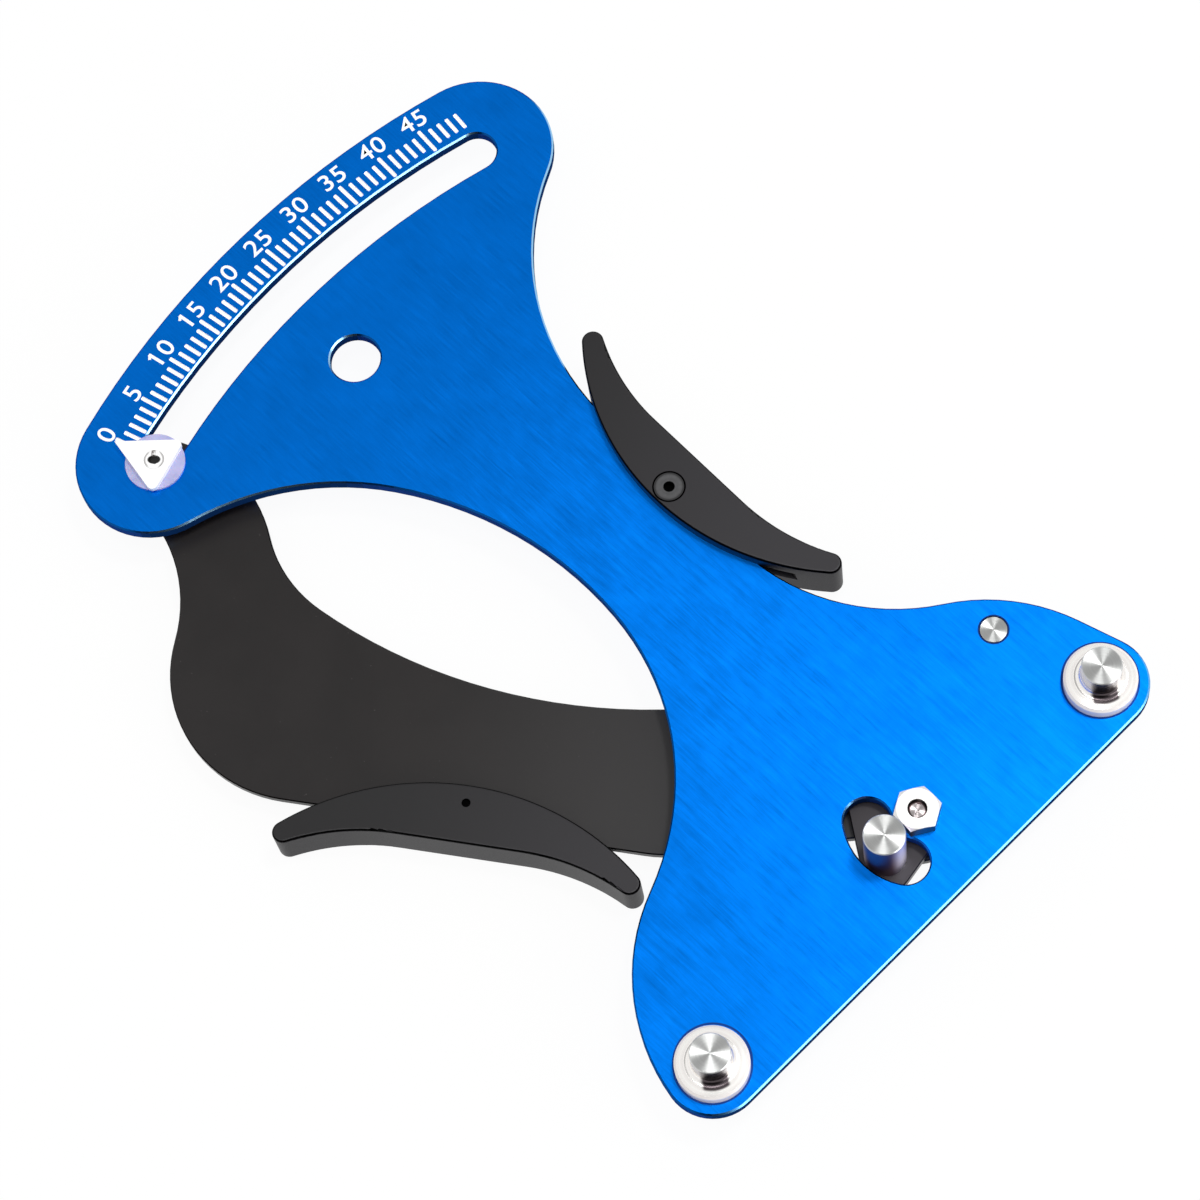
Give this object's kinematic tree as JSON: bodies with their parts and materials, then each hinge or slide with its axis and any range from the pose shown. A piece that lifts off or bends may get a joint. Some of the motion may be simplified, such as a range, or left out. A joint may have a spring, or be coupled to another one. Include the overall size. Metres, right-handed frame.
{
  "type": "spoke tension meter",
  "caption": "Flat blue body plate with an arc scale, three spoke posts, a spring-loaded lever with pointer, and two crescent grips that are squeezed together.",
  "frame": {"origin": "centre of the tool's bounding box in plan, on the surface that it rests on", "axes": "+Z out of the plate's front face, +Y from the posts to the scale, +X along the line of the two fixed posts"},
  "size_m": [0.1565, 0.2162, 0.0224],
  "materials": {
    "blue_anodised": "satin blue anodised aluminium with a fine brushed grain",
    "turned_steel": "bright turned steel",
    "zinc_steel": "bright zinc plated steel",
    "bronze": "sintered bronze",
    "black_nylon": "black low-friction nylon",
    "spring_steel": "bright spring wire",
    "grip_plastic": "dark grey moulded plastic with a fine texture",
    "black_steel": "black coated steel plate",
    "black_steel_screw": "black oxide steel",
    "white_pointer": "white painted steel",
    "clear_washer": "milky clear plastic"
  },
  "bodies": {
    "body": {"body_plate": "blue_anodised", "fixed_post_left": "turned_steel", "fixed_post_right": "turned_steel", "fixed_post_screws": "zinc_steel", "pivot_bolt": "turned_steel", "pivot_nut": "zinc_steel", "pivot_bush": "bronze", "front_washer": "black_nylon", "rear_washer": "black_nylon", "spring_anchor_pin": "turned_steel", "spring_anchor_clip": "spring_steel", "tension_spring": "spring_steel", "body_grip": "grip_plastic", "body_grip_screw": "black_steel_screw"},
    "lever": {"lever_arm": "black_steel", "post_carrier": "black_steel", "carrier_rivets": "black_steel", "moving_post": "turned_steel", "moving_post_screw": "zinc_steel", "spring_hook_pin": "turned_steel", "arm_grip": "grip_plastic", "arm_grip_screw": "black_steel_screw", "pointer": "white_pointer", "pointer_washer": "clear_washer", "pointer_sleeve": "black_nylon", "pointer_screw": "zinc_steel", "pointer_nut_washer": "zinc_steel", "pointer_nut": "zinc_steel"}
  },
  "joints": [
    {"name": "lever", "type": "hinge", "parent": "body", "child": "lever", "pos_m": [0.01686, -0.09075, 0.007], "axis": [0, 0, -1], "range_deg": [0, 31.9], "stiffness_Nm_per_rad": 0.45, "springref_deg": -60.16, "deforming": ["tension_spring"]}
  ]
}
